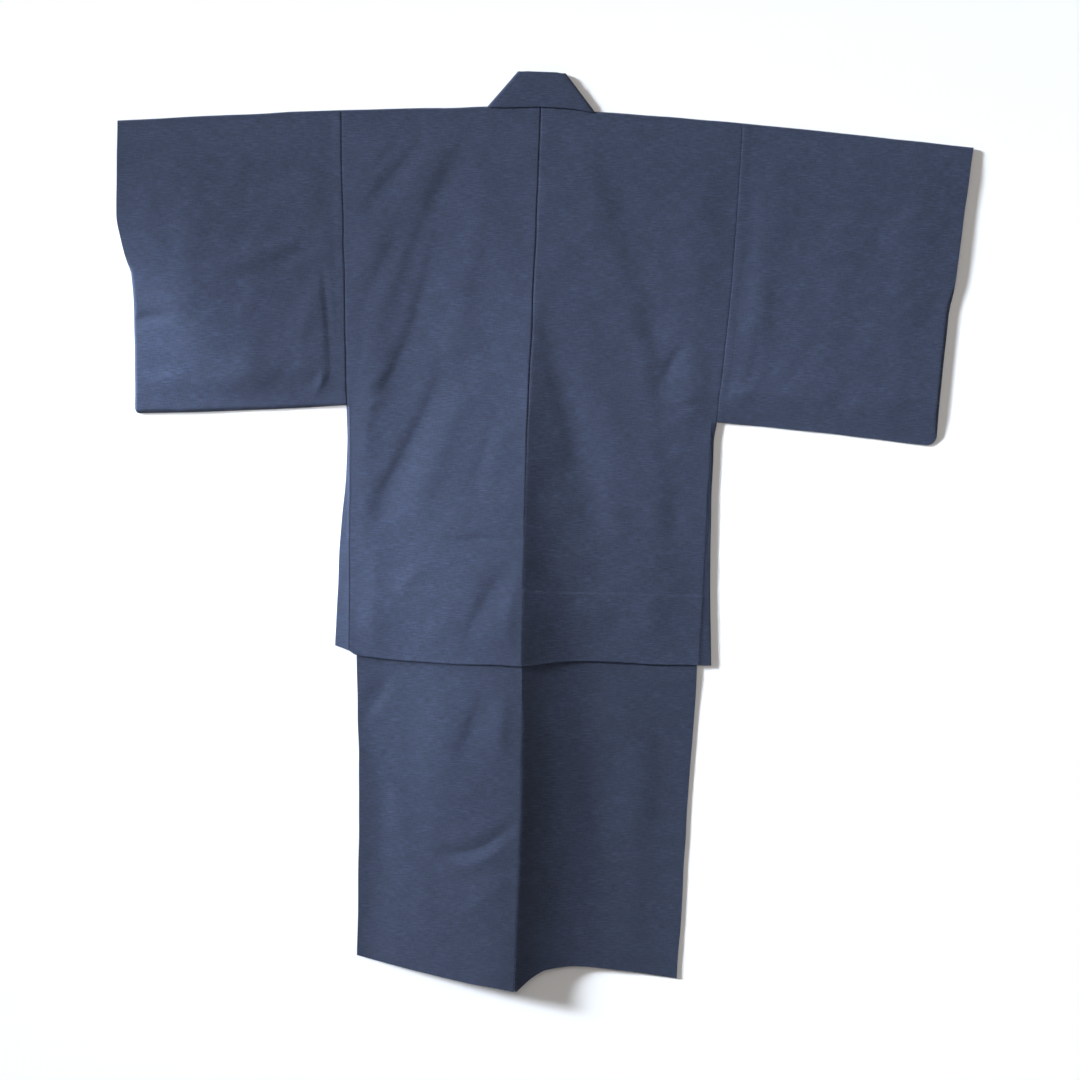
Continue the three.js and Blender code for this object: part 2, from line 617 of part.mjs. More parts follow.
collar('kimono_collar', INDIGO, {
  high: FLOOR + LAYER * 3,
  middle: { y: -3, freeY: 49 },
  stations: [{ x: 54, y: -6, freeX: 24, freeY: 49 }, { x: 25, y: -3.8, freeX: 11, freeY: 49 }],
}, [
  { sign: -1, low: FLOOR + LAYER, foldSeam: { x: 85, y: -6.8 }, foldFree: { x: 36, y: 49 },
    down: slantedArm },
  { sign: 1, low: FLOOR + LAYER * 2, foldSeam: { x: 85, y: -9.2 }, foldFree: { x: 36, y: 49 },
    down: slantedArm },
]);

// The origin moves to the middle of the underside.
const box = new THREE.Box3().setFromObject(set);
const middle = box.getCenter(new THREE.Vector3());
for (const piece of set.children) piece.geometry.translate(-middle.x, -middle.y, -box.min.z);

export default set;
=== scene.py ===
"""A man's navy kimono with its haori coat over it, laid out flat and face down (Blender 4.5)."""
import math

import bpy
import numpy as np
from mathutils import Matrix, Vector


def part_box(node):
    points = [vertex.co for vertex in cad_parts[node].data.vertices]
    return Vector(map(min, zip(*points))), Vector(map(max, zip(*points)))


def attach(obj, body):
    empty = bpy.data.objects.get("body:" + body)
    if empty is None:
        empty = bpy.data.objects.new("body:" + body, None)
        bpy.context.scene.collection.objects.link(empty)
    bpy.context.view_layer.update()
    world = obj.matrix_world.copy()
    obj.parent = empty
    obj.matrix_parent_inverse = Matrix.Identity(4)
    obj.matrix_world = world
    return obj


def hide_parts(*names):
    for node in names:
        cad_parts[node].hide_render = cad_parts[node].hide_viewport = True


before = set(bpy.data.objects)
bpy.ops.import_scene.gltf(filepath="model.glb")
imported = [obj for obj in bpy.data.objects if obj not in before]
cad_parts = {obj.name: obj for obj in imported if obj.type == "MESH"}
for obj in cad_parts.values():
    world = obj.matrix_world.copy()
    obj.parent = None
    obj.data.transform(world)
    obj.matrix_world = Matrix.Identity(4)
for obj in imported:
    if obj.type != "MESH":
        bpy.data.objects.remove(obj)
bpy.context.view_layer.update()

# Shapes are worked out in millimetres in the garment's own frame: x = 0 is the centre-back seam,
# y = 0 the back of the neck and z = 0 the surface. SHIFT carries them to the row frame.
COLLAR_TOP = 58
LEFT_CUFF = 714
SHIFT = np.array([
    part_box("haori_sleeve_left")[0][0] * 1000 + LEFT_CUFF,
    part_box("haori_collar")[1][1] * 1000 - COLLAR_TOP,
    0,
])

WALL = 1.2  # one layer of cloth
LAYER = 1.6  # from the middle of one layer to the middle of the next
FLOOR = WALL / 2
SEAM = 0.1  # between two pieces where they are sewn together
LIFT = 0.9  # the coat's back lies this much looser than its plain solid
NECK = 90  # half the width of the neck
GRID = 4.0  # the cloth's mesh, fine enough for its folds


def mix(a, b, t):
    return a + (b - a) * t


def ease(start, end, value):
    t = np.clip((value - start) / (end - start), 0, 1)
    return t * t * (3 - 2 * t)


def bell(distance, width):
    return np.exp(-((distance / width) ** 2))


def smooth(keys, values, at):
    """A smooth curve through a short table's points that never swings past them."""
    keys, values = np.array(keys, float), np.array(values, float)
    order = np.argsort(keys)
    keys, values = keys[order], values[order]
    spans = np.diff(keys)
    rates = np.diff(values) / spans
    same_way = rates[:-1] * rates[1:] > 0
    sums = np.where(same_way, rates[:-1] + rates[1:], 1)
    tangents = np.where(same_way, 2 * rates[:-1] * rates[1:] / sums, 0)
    tangents = np.concatenate([rates[:1], tangents, rates[-1:]])
    row = np.clip(np.searchsorted(keys, at, side="right") - 1, 0, len(spans) - 1)
    t = np.clip((at - keys[row]) / spans[row], 0, 1)
    start, end = tangents[row] * spans[row], tangents[row + 1] * spans[row]
    rise = values[row + 1] - values[row]
    curve = (start + end - 2 * rise) * t**3 + (3 * rise - 2 * start - end) * t**2 + start * t
    return values[row] + curve


def x_on(line, y):
    return smooth(line["y"], line["x"], y)


def y_on(line, x):
    return smooth(line["x"], line["y"], x)


# ---- outlines
CENTRE = {"y": [0, -326, -580, -834, -944, -1172, -1491], "x": [0, -4, -8, -7, -5, 0, -3]}
# Each half of the coat. x counts outwards from the centre-back seam.
#   cuff_end: where the open cuff ends and its sewn part begins
#   corner: radius of the sleeve's lower corner
#   gusset: where the gusset's seam starts and ends
#   edge_roll: radius of the gusset's rolled edge
#   hem_slope, side_slope: how wide the cloth slopes down to the sleeve's lower edge and the side
#   pressed: how strongly the seams show
HAORI = {
    "left": {
        "sign": -1,
        "neck": {"x": [0, 30, 60, 90], "y": [0, -0.2, -1.0, -2.6]},
        "shoulder": {"x": [90, 338, 714], "y": [-3, -16, -44]},
        "sleeve_seam": {"y": [-16, -251, -513], "x": [338, 326, 314]},
        "armpit": -513,
        "cuff": {
            "y": [-44, -203, -250, -288, -297, -413, -536],
            "x": [714, 711, 701, 688.5, 684, 675.5, 671],
        },
        "cuff_end": -298,
        "corner": 9,
        "sleeve_hem": {"x": [314, 477, 672], "y": [-513, -526, -537]},
        "side": {"y": [-513, -589, -758, -919], "x": [314, 311, 319, 322]},
        "gusset": [308, 298],
        "edge_roll": 0.9,
        "hem_slope": 4,
        "side_slope": 46,
        "pressed": 0.65,
        "hem": {"x": [0, 178, 285, 298, 322], "y": [-944, -942, -934, -927, -919]},
    },
    "right": {
        "sign": 1,
        "neck": {"x": [0, 30, 60, 90], "y": [0, -0.8, -2.6, -5.6]},
        "shoulder": {"x": [90, 342, 732], "y": [-6, -19, -49]},
        "sleeve_seam": {"y": [-19, -266, -524], "x": [342, 332, 312]},
        "armpit": -524,
        "cuff": {
            "y": [-49, -137, -306, -320, -442, -554],
            "x": [732, 722, 703.5, 700.5, 690, 683],
        },
        "cuff_end": -306,
        "corner": 18,
        "sleeve_hem": {"x": [312, 487, 684], "y": [-524, -537, -555]},
        "side": {"y": [-524, -560, -740, -934], "x": [312, 307, 307, 314]},
        "gusset": [304, 295],
        "edge_roll": 2.4,
        "hem_slope": 34,
        "side_slope": 95,
        "pressed": 0.45,
        "hem": {"x": [0, 59, 126, 211, 314], "y": [-944, -936, -933, -936, -935]},
    },
}
# Each half of the kimono. rise is how many layers it lies higher where the fronts overlap.
KIMONO = {
    "left": {
        "sign": -1,
        "side": {
            "y": [-20, -505, -600, -760, -935, -1179, -1441],
            "x": [334, 303, 296, 290, 285, 274, 270],
        },
        "hem": {"x": [0, 163, 270], "y": [-1491, -1464, -1441]},
        "front_hem": -1434,
        "rise": 0,
    },
    "right": {
        "sign": 1,
        "side": {
            "y": [-20, -505, -600, -760, -939, -1164, -1333, -1465],
            "x": [334, 300, 292, 290, 290, 281, 276, 271],
        },
        "hem": {"x": [0, 27, 52, 98, 175, 271], "y": [-1491, -1467, -1454, -1448, -1454, -1465]},
        "front_hem": -1440,
        "rise": 1,
    },
}
KIMONO_ARMPIT = -505
SLEEVE_INSET = 24  # the kimono's sleeves are this much smaller all round
KIMONO_INSET = 4  # its shoulders lie this far below the haori's
RIDGE_HEIGHT = 36  # of the crease down the middle of the back
RIDGE_REACH = 700  # how far below the neck it has nearly two thirds of it
GENTLE_FOOT = (130, 280)  # how wide its left side is, near the neck and towards the hem
STEEP_FOOT = (60, 172)  # the same for its right side
CREST = 25  # its rounded top is level this far out


def centre(y):
    return x_on(CENTRE, y)


def ridge(x, y):
    """The centre-back crease: gentle on the left, and steep on the right towards the hem."""
    height = RIDGE_HEIGHT * (1 - np.exp(-((np.maximum(0, -y) / RIDGE_REACH) ** 2.1)))
    off = x - centre(y)
    gentle_foot = mix(*GENTLE_FOOT, ease(-200, -900, y))
    gentle = np.maximum(0, 1 - np.abs(off) / gentle_foot) ** 1.15
    rounded = ease(gentle_foot, CREST, np.abs(off))
    gentle = mix(gentle, rounded, 0.7 * ease(-450, -900, y))
    steep_foot = mix(*STEEP_FOOT, ease(-330, -800, y))
    steep = np.maximum(0, 1 - np.maximum(off, 0) / steep_foot) ** 2.2
    return height * np.where(off < 0, gentle, mix(gentle, steep, ease(-320, -640, y)))


# Folds, each along its own few points. The numbers before them are how far from its line the fold
# has dropped to about a third, its height (a trough's is negative) and its lean: above 0 draws out
# the side towards +X or the lower one, below 0 the other, and 0 leaves both alike.
FOLDS = {
    "haori": [
        # from the neck to the left armpit and on down the side
        (17, -2.7, 0.5, [(-96, -12), (-130, -75), (-166, -150), (-198, -235), (-228, -330),
                         (-246, -420)]),
        (15, -3.1, 0.7, [(-158, -190), (-180, -290), (-205, -385), (-238, -465), (-264, -540),
                         (-272, -640)]),
        (26, -2.4, 0.4, [(-262, -560), (-262, -640), (-262, -720), (-258, -800)]),
        (13, -3.3, 0.6, [(-148, -420), (-172, -505), (-202, -575), (-236, -640), (-262, -700)]),
        (10, -1.5, 0.3, [(-188, -40), (-222, -95), (-268, -150), (-300, -205)]),
        (8, -0.9, 0, [(-228, -60), (-262, -95), (-300, -135)]),
        (12, -1.6, 0.4, [(-228, -200), (-252, -262), (-290, -330), (-306, -400)]),
        (22, 1.2, 0, [(-92, -150), (-112, -260), (-128, -360), (-150, -440)]),
        (24, 1.8, -0.3, [(-120, -470), (-150, -560), (-178, -640), (-196, -720)]),
        # puckers at the left armpit
        (8, 1.5, 0, [(-318, -488), (-280, -478), (-235, -440)]),
        (7, 1.3, 0, [(-316, -508), (-278, -515), (-240, -492)]),
        (8, -1.4, 0, [(-316, -470), (-296, -440), (-288, -390)]),
        (9, 1.1, 0, [(-310, -530), (-286, -560), (-270, -610)]),
        # across the small of the back and above the hem, left
        (4, -2.4, 1, [(-152, -738), (-90, -732), (-8, -734)]),
        (12, -2.3, 0.5, [(-28, -770), (-58, -815), (-84, -865), (-104, -915)]),
        (13, 1.4, 0, [(-12, -770), (-28, -840), (-34, -915)]),
        (10, 1.2, 0, [(-160, -770), (-196, -800), (-232, -842)]),
        (10, -1.2, 0, [(-296, -730), (-276, -790), (-262, -850)]),
        (9, -0.9, 0, [(-135, -830), (-165, -870), (-188, -915)]),
        (12, -1.1, 0, [(-60, -520), (-78, -590), (-100, -660)]),
        # right of the crease
        (16, -1.7, 0.5, [(6, -325), (24, -400), (46, -475), (72, -560), (84, -650)]),
        (17, -1.0, 0.4, [(92, -50), (118, -110), (146, -180), (170, -250)]),
        (26, 1.8, -0.4, [(62, -60), (96, -170), (140, -290), (166, -390)]),
        (18, -2.0, 0.4, [(176, -290), (200, -380), (214, -450), (226, -540), (234, -625)]),
        (24, -2.4, 0, [(236, -600), (252, -670), (256, -750)]),
        (9, -1.8, 0, [(262, -392), (236, -420), (218, -462)]),
        (9, -1.4, 0, [(312, -500), (284, -496), (258, -500), (232, -516)]),
        (9, -1.2, 0, [(302, -560), (272, -575), (250, -610)]),
        (9, -1.1, 0, [(300, -640), (270, -655), (240, -690)]),
        (7, -1.0, 0, [(270, -718), (232, -722), (190, -716)]),
        (8, -1.1, 0, [(292, -768), (250, -776), (206, -790)]),
        (22, 1.4, 0, [(120, -600), (140, -690), (150, -780)]),
        (12, -0.8, 0, [(90, -860), (140, -872), (200, -866)]),
        (18, 1.1, 0, [(228, -150), (256, -230), (272, -320)]),
    ],
    "sleeve": [
        # the left cuff turns down towards its corner
        (62, 8, 0.6, [(-735, -170), (-690, -240), (-640, -305), (-580, -368), (-500, -440),
                      (-380, -520)]),
        (9, -4.0, 0, [(-688, -392), (-650, -372), (-612, -380)]),
        (9, 1.2, 0, [(-684, -330), (-648, -346), (-610, -360)]),
        (12, -1.2, 0, [(-676, -450), (-640, -462), (-600, -452)]),
        (10, 1.0, 0, [(-670, -505), (-620, -480), (-580, -500)]),
        # along the left sleeve's seam
        (5.5, -1.8, 0, [(-362, -270), (-352, -340), (-345, -405), (-340, -470)]),
        (7, 1.2, 0, [(-332, -390), (-331, -440), (-334, -485)]),
        (8, 2.2, 0, [(-380, -520), (-362, -490), (-352, -450)]),
        (16, 1.2, 0, [(-372, -300), (-392, -400), (-402, -480)]),
        (17, 1.5, 0, [(-560, -296), (-470, -262), (-394, -238)]),
        (13, -1.4, 0, [(-470, -300), (-410, -262), (-352, -250)]),
        (16, -2.0, 0, [(-470, -500), (-430, -476), (-380, -478), (-358, -452)]),
        (22, -1.6, 0, [(-640, -110), (-628, -210), (-604, -300)]),
        (22, -0.9, 0, [(-560, -130), (-500, -150), (-430, -130)]),
        (14, 0.9, 0, [(-520, -400), (-480, -430), (-455, -470)]),
        # the right sleeve's lower edge rolls under
        (11, 1.8, 0, [(318, -492), (362, -474), (402, -484), (452, -496)]),
        (24, 2.4, 0, [(330, -470), (440, -474), (560, -484), (672, -496)]),
        (9, -1.5, 0, [(352, -488), (386, -486), (414, -498)]),
        (12, -1.2, 0, [(500, -492), (532, -482), (566, -498)]),
        (10, 1.0, 0, [(600, -470), (634, -478), (664, -470)]),
        (10, -1.0, 0, [(346, -470), (372, -430), (380, -380)]),
        (7, 1.2, 0, [(330, -440), (338, -470), (336, -505)]),
        (16, 1.3, -0.3, [(378, -250), (384, -330), (372, -400)]),
        (13, -1.0, 0, [(352, -80), (360, -200), (352, -300)]),
        (6, -1.3, 0, [(690, -334), (664, -344), (640, -340)]),
        (30, 1.6, 0.6, [(640, -130), (622, -230), (628, -320)]),
        (20, 0.9, 0, [(470, -230), (520, -300), (600, -330)]),
        (16, -0.9, 0, [(560, -400), (600, -440), (650, -450)]),
    ],
    "kimono": [
        # a tuck that runs out at the left edge below the haori's hem
        (17, 4.5, 0, [(-290, -905), (-286, -960), (-278, -1020)]),
        (13, -3.0, 0, [(-206, -938), (-236, -985), (-270, -1040)]),
        (12, 1.6, 0, [(-196, -960), (-232, -1010), (-270, -1060)]),
        (34, 3.0, 0.4, [(-150, -950), (-146, -1040), (-132, -1130), (-140, -1230)]),
        (13, -2.4, 0.3, [(-66, -990), (-84, -1045), (-108, -1110)]),
        (14, 1.8, 0, [(-30, -960), (-36, -1040), (-50, -1110)]),
        (11, -3.0, 0, [(-156, -1262), (-112, -1262), (-62, -1250), (-6, -1206)]),
        (12, 1.2, 0, [(-128, -1232), (-84, -1226), (-48, -1204)]),
        (10, 1.8, 0, [(-130, -1286), (-76, -1278), (-22, -1246)]),
        (12, 1.3, 0, [(-92, -1358), (-58, -1334), (-16, -1306)]),
        (14, -1.1, 0, [(-130, -1420), (-80, -1400), (-30, -1412)]),
        (9, 1.1, 0, [(-20, -1160), (-52, -1150), (-84, -1166)]),
        (22, -2.2, -0.2, [(-236, -1080), (-232, -1200), (-226, -1330), (-232, -1430)]),
        (20, 1.3, 0, [(-176, -1280), (-158, -1350), (-150, -1430)]),
        (14, -1.1, 0, [(-210, -1120), (-182, -1180), (-176, -1250)]),
        # right of the crease
        (30, -1.4, 0.5, [(96, -960), (120, -1100), (138, -1250), (150, -1400)]),
        (10, -0.9, 0, [(150, -975), (128, -1000), (106, -1010)]),
        (8, -1.4, 0, [(276, -1072), (248, -1080), (216, -1072)]),
        (8, -1.4, 0, [(272, -1188), (244, -1194), (214, -1186)]),
        (8, -1.2, 0, [(268, -1298), (238, -1302), (206, -1296)]),
        (9, -1.1, 0, [(262, -1390), (230, -1402), (200, -1392)]),
        (24, 1.2, 0, [(190, -1040), (204, -1140), (196, -1240)]),
    ],
}


def curve_through(points, steps=8):
    """A smooth line through a few points."""
    points = np.array(points, float)
    ends = 2 * points[[0, -1]] - points[[1, -2]]
    p = np.concatenate([ends[:1], points, ends[1:]])
    t = np.linspace(0, 1, steps, endpoint=False)[:, None]
    spans = [
        0.5 * (2 * b + (c - a) * t + (2 * a - 5 * b + 4 * c - d) * t**2
               + (3 * b - a - 3 * c + d) * t**3)
        for a, b, c, d in zip(p, p[1:], p[2:], p[3:])
    ]
    return np.concatenate([*spans, points[-1:]])


def folds(place, x, y):
    """The height that all the folds of one place add at each point."""
    x, y = np.broadcast_arrays(x, y)
    height = np.zeros(x.shape)
    for width, rise, lean, points in FOLDS[place]:
        line = curve_through(points)
        margin = width * 8
        low, high = line.min(axis=0) - margin, line.max(axis=0) + margin
        near = (x > low[0]) & (x < high[0]) & (y > low[1]) & (y < high[1])
        if not near.any():
            continue
        px, py = x[near], y[near]
        spans = np.diff(line, axis=0)
        lengths = np.hypot(*spans.T)
        starts = np.concatenate([[0], np.cumsum(lengths)])
        towards = 1 if line[-1, 1] <= line[0, 1] else -1
        nearest = np.full(px.shape, np.inf)
        off, along = np.zeros(px.shape), np.zeros(px.shape)
        for (x0, y0), (dx, dy), length, start in zip(line, spans, lengths, starts):
            share = ((px - x0) * dx + (py - y0) * dy) / length**2
            step = np.clip(share, 0, 1)
            distance = np.hypot(px - x0 - dx * step, py - y0 - dy * step)
            side = np.sign((py - y0) * dx - (px - x0) * dy) * towards
            closer = distance < nearest
            nearest = np.where(closer, distance, nearest)
            off = np.where(closer, side * distance, off)
            along = np.where(closer, start + share * length, along)
        reach = width * (1 + 2.5 * np.maximum(0, np.sign(off) * lean))
        taper = np.sin(np.pi * np.clip(along / starts[-1], 0, 1)) ** 0.8
        height[near] += rise * taper * bell(off, reach)
    return height


# Each kind of unevenness: its height, its seed, its shortest wave and its longest one. No cut or
# fold is quite straight, so the outlines have theirs too.
WAVES = {
    "haori back": (0.8, 3, 45, 170),
    "haori back, fine": (0.09, 4, 9, 30),
    "kimono back": (0.7, 5, 50, 190),
    "kimono back, fine": (0.09, 6, 9, 30),
    "gusset": (0.5, 8, 40, 120),
    "sleeve": (0.7, 9, 45, 170),
    "sleeve, fine": (0.09, 10, 9, 30),
    "outline in x": (0.6, 21, 60, 170),
    "outline in y": (0.6, 22, 60, 170),
    "hem stitches": (0.25, 23, 12, 50),
}
WAVE_COUNT = 14


def ripple(x, y, kind):
    """Gentle unevenness, up and down by about its height: waves of mixed directions."""
    height, seed, shortest, longest = WAVES[kind]
    rng = np.random.default_rng(seed)
    total = np.zeros(np.broadcast(x, y).shape)
    for _ in range(WAVE_COUNT):
        length = rng.uniform(shortest, longest)
        angle, phase = rng.uniform(0, math.pi), rng.uniform(0, 2 * math.pi)
        along = x * math.cos(angle) + y * math.sin(angle)
        total += np.sin(2 * math.pi * along / length + phase)
    return height * (total / math.sqrt(WAVE_COUNT) / 1.6)


# ---- heights of the layers
HAORI_HEM = -944  # the back's hem at the centre seam
HAORI_FRONT_END = -948
HEM_TURN = -820  # upper edge of the haori's turned-up hem, felt through the cloth
KIMONO_HEM_TURN = 62  # how far the kimono's hem is turned up
HEM_STEP = 3  # how wide the step down from a turned-up hem is
HAORI_HEM_RISE = 0.7  # how much higher the coat's turned-up hem stands
KIMONO_HEM_RISE = 0.5
HAORI_AIR = 5  # how loosely the coat's back lies on average
HEM_AIR = 0.5  # the same at its hem
SLEEVE_AIR = 4
KIMONO_AIR = 4.5
SEAM_AIR = 3  # along the seam between body and sleeve
SEAM_SLOPE = 60  # how far from that seam the body reaches its full looseness
LEAST_AIR = 0.3
GUSSET_TOP = -515
GUSSET_RUN = 415  # from its top down to where its seam stops slanting
UNDER_ARMPIT = 0.6  # a gusset starts this far below the armpit
LOWER_EDGE_RADIUS = 2.5  # over which a sleeve's folded lower edge rolls down
CUFF_RADIUS = 5  # the same for the sewn part of its cuff
SEAM_ALLOWANCE = 14  # what is turned in along a sleeve's seam, felt through the cloth


def overlap(x):
    """1 where both fronts lie on each other, 0 outside."""
    return 1 - ease(122, 148, np.abs(x))


def over(x):
    """The backs lie over the step where the fronts overlap in a wide slope."""
    return 1 - ease(130, 250, np.abs(x))


def lifted(y):
    """1 where the kimono's front lies on the haori's, 0 where it lies on the surface."""
    return ease(HAORI_FRONT_END - 70, HAORI_FRONT_END - 4, y)


def kimono_front(rise, x, y):
    return FLOOR + LAYER * (lifted(y) + rise * overlap(x))


def kimono_edge(x, y):
    return np.where(x < 0, x_on(KIMONO["left"]["side"], y), x_on(KIMONO["right"]["side"], y))


def kimono_hem(x):
    out = np.abs(x)
    return np.where(x < 0, y_on(KIMONO["left"]["hem"], out), y_on(KIMONO["right"]["hem"], out))


def kimono_back(x, y):
    edge = kimono_edge(x, y)
    shown = 1 - ease(-1050, -950, y)
    slope = np.where(x < 0, 75, 150)
    opened = ease(edge - 4, edge - slope, np.abs(x)) * shown
    loose = opened * (KIMONO_AIR + ripple(x, y, "kimono back"))
    inside = ease(edge - 1, edge - 12, np.abs(x))
    air = np.maximum(0, loose + folds("kimono", x, y) * inside * shown)
    fine = ripple(x, y, "kimono back, fine") * shown
    base = FLOOR + LAYER * (lifted(y) + 1 + over(x)) + ridge(x, y) + air + fine
    turned_up = kimono_hem(x) + KIMONO_HEM_TURN
    doubled = KIMONO_HEM_RISE * ease(turned_up + HEM_STEP, turned_up, y)
    seam = np.abs(x - centre(y))
    return base + doubled - 0.5 * bell(seam, 1.6) * shown


def gusset_seam(half, y):
    top, bottom = half["gusset"]
    return mix(top, bottom, np.clip((GUSSET_TOP - y) / GUSSET_RUN, 0, 1))


def sleeve_seam(half, leg, y):
    seam = half["sleeve_seam"]
    if leg == "front":
        seam = {"y": [seam["y"][0], seam["y"][2]], "x": [seam["x"][0], seam["x"][2]]}
    return x_on(seam, y)


def upper_edge(distance):
    """A sewn edge that is pressed over its seam: a little plump, then rounded down."""
    return 0.2 * bell(distance - 3, 4) - 1.0 * np.exp(-np.maximum(0, distance) / 0.7)


def under_edge(distance):
    """A sewn edge that dips under the neighbour that is pressed over it."""
    d = np.maximum(0, distance)
    return -0.25 * np.exp(-d / 5) - 1.1 * np.exp(-d / 1.1)


def rolled(distance, radius):
    """How far a folded edge has rolled down: all the way at its very edge, none at the radius."""
    return 1 - np.sqrt(1 - np.clip(1 - distance / radius, 0, 1) ** 2)


def below_shoulder(y):
    """From 0 on the folded shoulder to 1 where the layers lie as loosely as elsewhere."""
    return ease(-14, -90, y)


def seam_air(half, y):
    """How loosely the coat lies where its sleeve is sewn to its body."""
    armpit = half["armpit"]
    return SEAM_AIR * below_shoulder(y) * ease(armpit + 4, armpit + 70, y)


def haori_back(half, x, y):
    out = np.abs(x)
    edge = kimono_edge(half["sign"] * out, y)
    below = ease(-500, -560, y)
    seam = gusset_seam(half, y)
    down = 0.3 * below * ease(edge + 1, seam, out)
    rim = mix(sleeve_seam(half, "back", y), seam, below)
    inside = ease(rim, rim - mix(SEAM_SLOPE, half["side_slope"], below), out)
    loose = mix(HEM_AIR, HAORI_AIR, ease(HAORI_HEM, -850, y)) + folds("haori", x, y)
    loose = loose + ripple(x, y, "haori back")
    air = mix(seam_air(half, y), np.maximum(LEAST_AIR, loose) * below_shoulder(y), inside)
    stitched = 0.3 + ripple(x, y, "hem stitches")
    doubled = HAORI_HEM_RISE * ease(HEM_TURN + HEM_STEP, HEM_TURN, y)
    doubled = doubled - stitched * bell(y - HEM_TURN - HEM_STEP, HEM_STEP)
    fine = ripple(x, y, "haori back, fine") * ease(0, 14, -y)
    middle = np.abs(x - centre(y))
    centre_seam = np.where(x < centre(y), upper_edge(middle), under_edge(middle))
    centre_seam = centre_seam * mix(1, 0.4, ease(-480, -760, y))
    to_seam = np.where(y > half["armpit"], sleeve_seam(half, "back", y), seam) - out
    side_seam = half["pressed"] * np.where(
        y > half["armpit"], under_edge(to_seam), upper_edge(to_seam)
    )
    neck_seam = under_edge(shoulder_top(half, out) - y - 1) * ease(NECK + 20, NECK, out)
    base = FLOOR + LAYER * (3 + over(x)) + LIFT - down + ridge(x, y)
    return base + air + doubled + fine + centre_seam + side_seam + neck_seam


# ---- cloth as meshes
# Lengths that the meshes' columns and rows are spread over.
HAORI_ACROSS = 240
KIMONO_ACROSS = 195
DOWN_TO_ARMPIT = 500
BELOW_ARMPIT = 410
SLEEVE_ACROSS = 375
SLEEVE_DOWN = 498
KIMONO_SHOWN_DOWN = 585

TURN_STEP = 15  # degrees from one row to the next where cloth is folded over
SHARP = math.radians(50)
SHOULDER_TURN = 2.5  # how far below the shoulder's edge its folded rows end
EDGE_RADIUS = 1  # how far a gusset's rolled edge reaches past its flat layers
GUSSET_ROWS = 3  # from one line of a gusset to the next in its own flat coordinates


def show(name, data):
    """An object of the scene for a mesh, a lamp or a camera."""
    made = bpy.data.objects.new(name, data)
    bpy.context.scene.collection.objects.link(made)
    return made


def shell(name, outer, inner, kept, cloth):
    """A closed wall of cloth between two grids of corners, over the kept cells."""
    n, m = outer.shape[:2]
    index = np.arange(n * m).reshape(n, m)
    a, b, c, d = index[:-1, :-1], index[1:, :-1], index[1:, 1:], index[:-1, 1:]
    cells = np.stack([a, b, c, d], -1)[kept]
    quads = [cells, cells[:, ::-1] + n * m]
    ringed = np.pad(kept, 1)
    for di, dj, p, q in ((0, -1, a, b), (1, 0, b, c), (0, 1, c, d), (-1, 0, d, a)):
        beyond = ringed[1 + di : n + di, 1 + dj : m + dj]
        rim = kept & ~beyond
        quads.append(np.stack([q[rim], p[rim], p[rim] + n * m, q[rim] + n * m], -1))
    quads = np.concatenate(quads)
    corners = np.concatenate([outer.reshape(-1, 3), inner.reshape(-1, 3)])
    p0, p1, p2, p3 = (corners[quads[:, k]] for k in range(4))
    volume = np.einsum("ij,ij->i", p0, np.cross(p1, p2) + np.cross(p2, p3)).sum()
    if volume < 0:
        quads = quads[:, ::-1]
    used, quads = np.unique(quads, return_inverse=True)
    quads = quads.reshape(-1, 4)
    mesh = bpy.data.meshes.new(name)
    corners = corners[used]
    x, y = corners[:, 0].copy(), corners[:, 1].copy()
    corners[:, 0] += ripple(x, y, "outline in x")
    corners[:, 1] += ripple(x, y, "outline in y")
    points = (corners + SHIFT) / 1000
    mesh.from_pydata(points.tolist(), [], quads.tolist())
    weave = mesh.uv_layers.new(name="weave")
    both = np.concatenate([cloth.reshape(-1, 2)] * 2)[used] / 1000
    weave.data.foreach_set("uv", both[quads.ravel()].ravel().astype(np.float32))
    mesh.polygons.foreach_set("use_smooth", np.ones(len(quads), bool))
    mesh.set_sharp_from_angle(angle=SHARP)
    mesh.validate()
    return show(name, mesh)


def divide(length, ends=(1.2, 2.8)):
    """Shares from 0 to 1 along a length, with closer ones next to both ends."""
    inside = np.linspace(ends[-1] * 2, length - ends[-1] * 2, round(length / GRID))
    shares = [0, *ends, *inside, *(length - e for e in reversed(ends)), length]
    return np.array(shares) / length


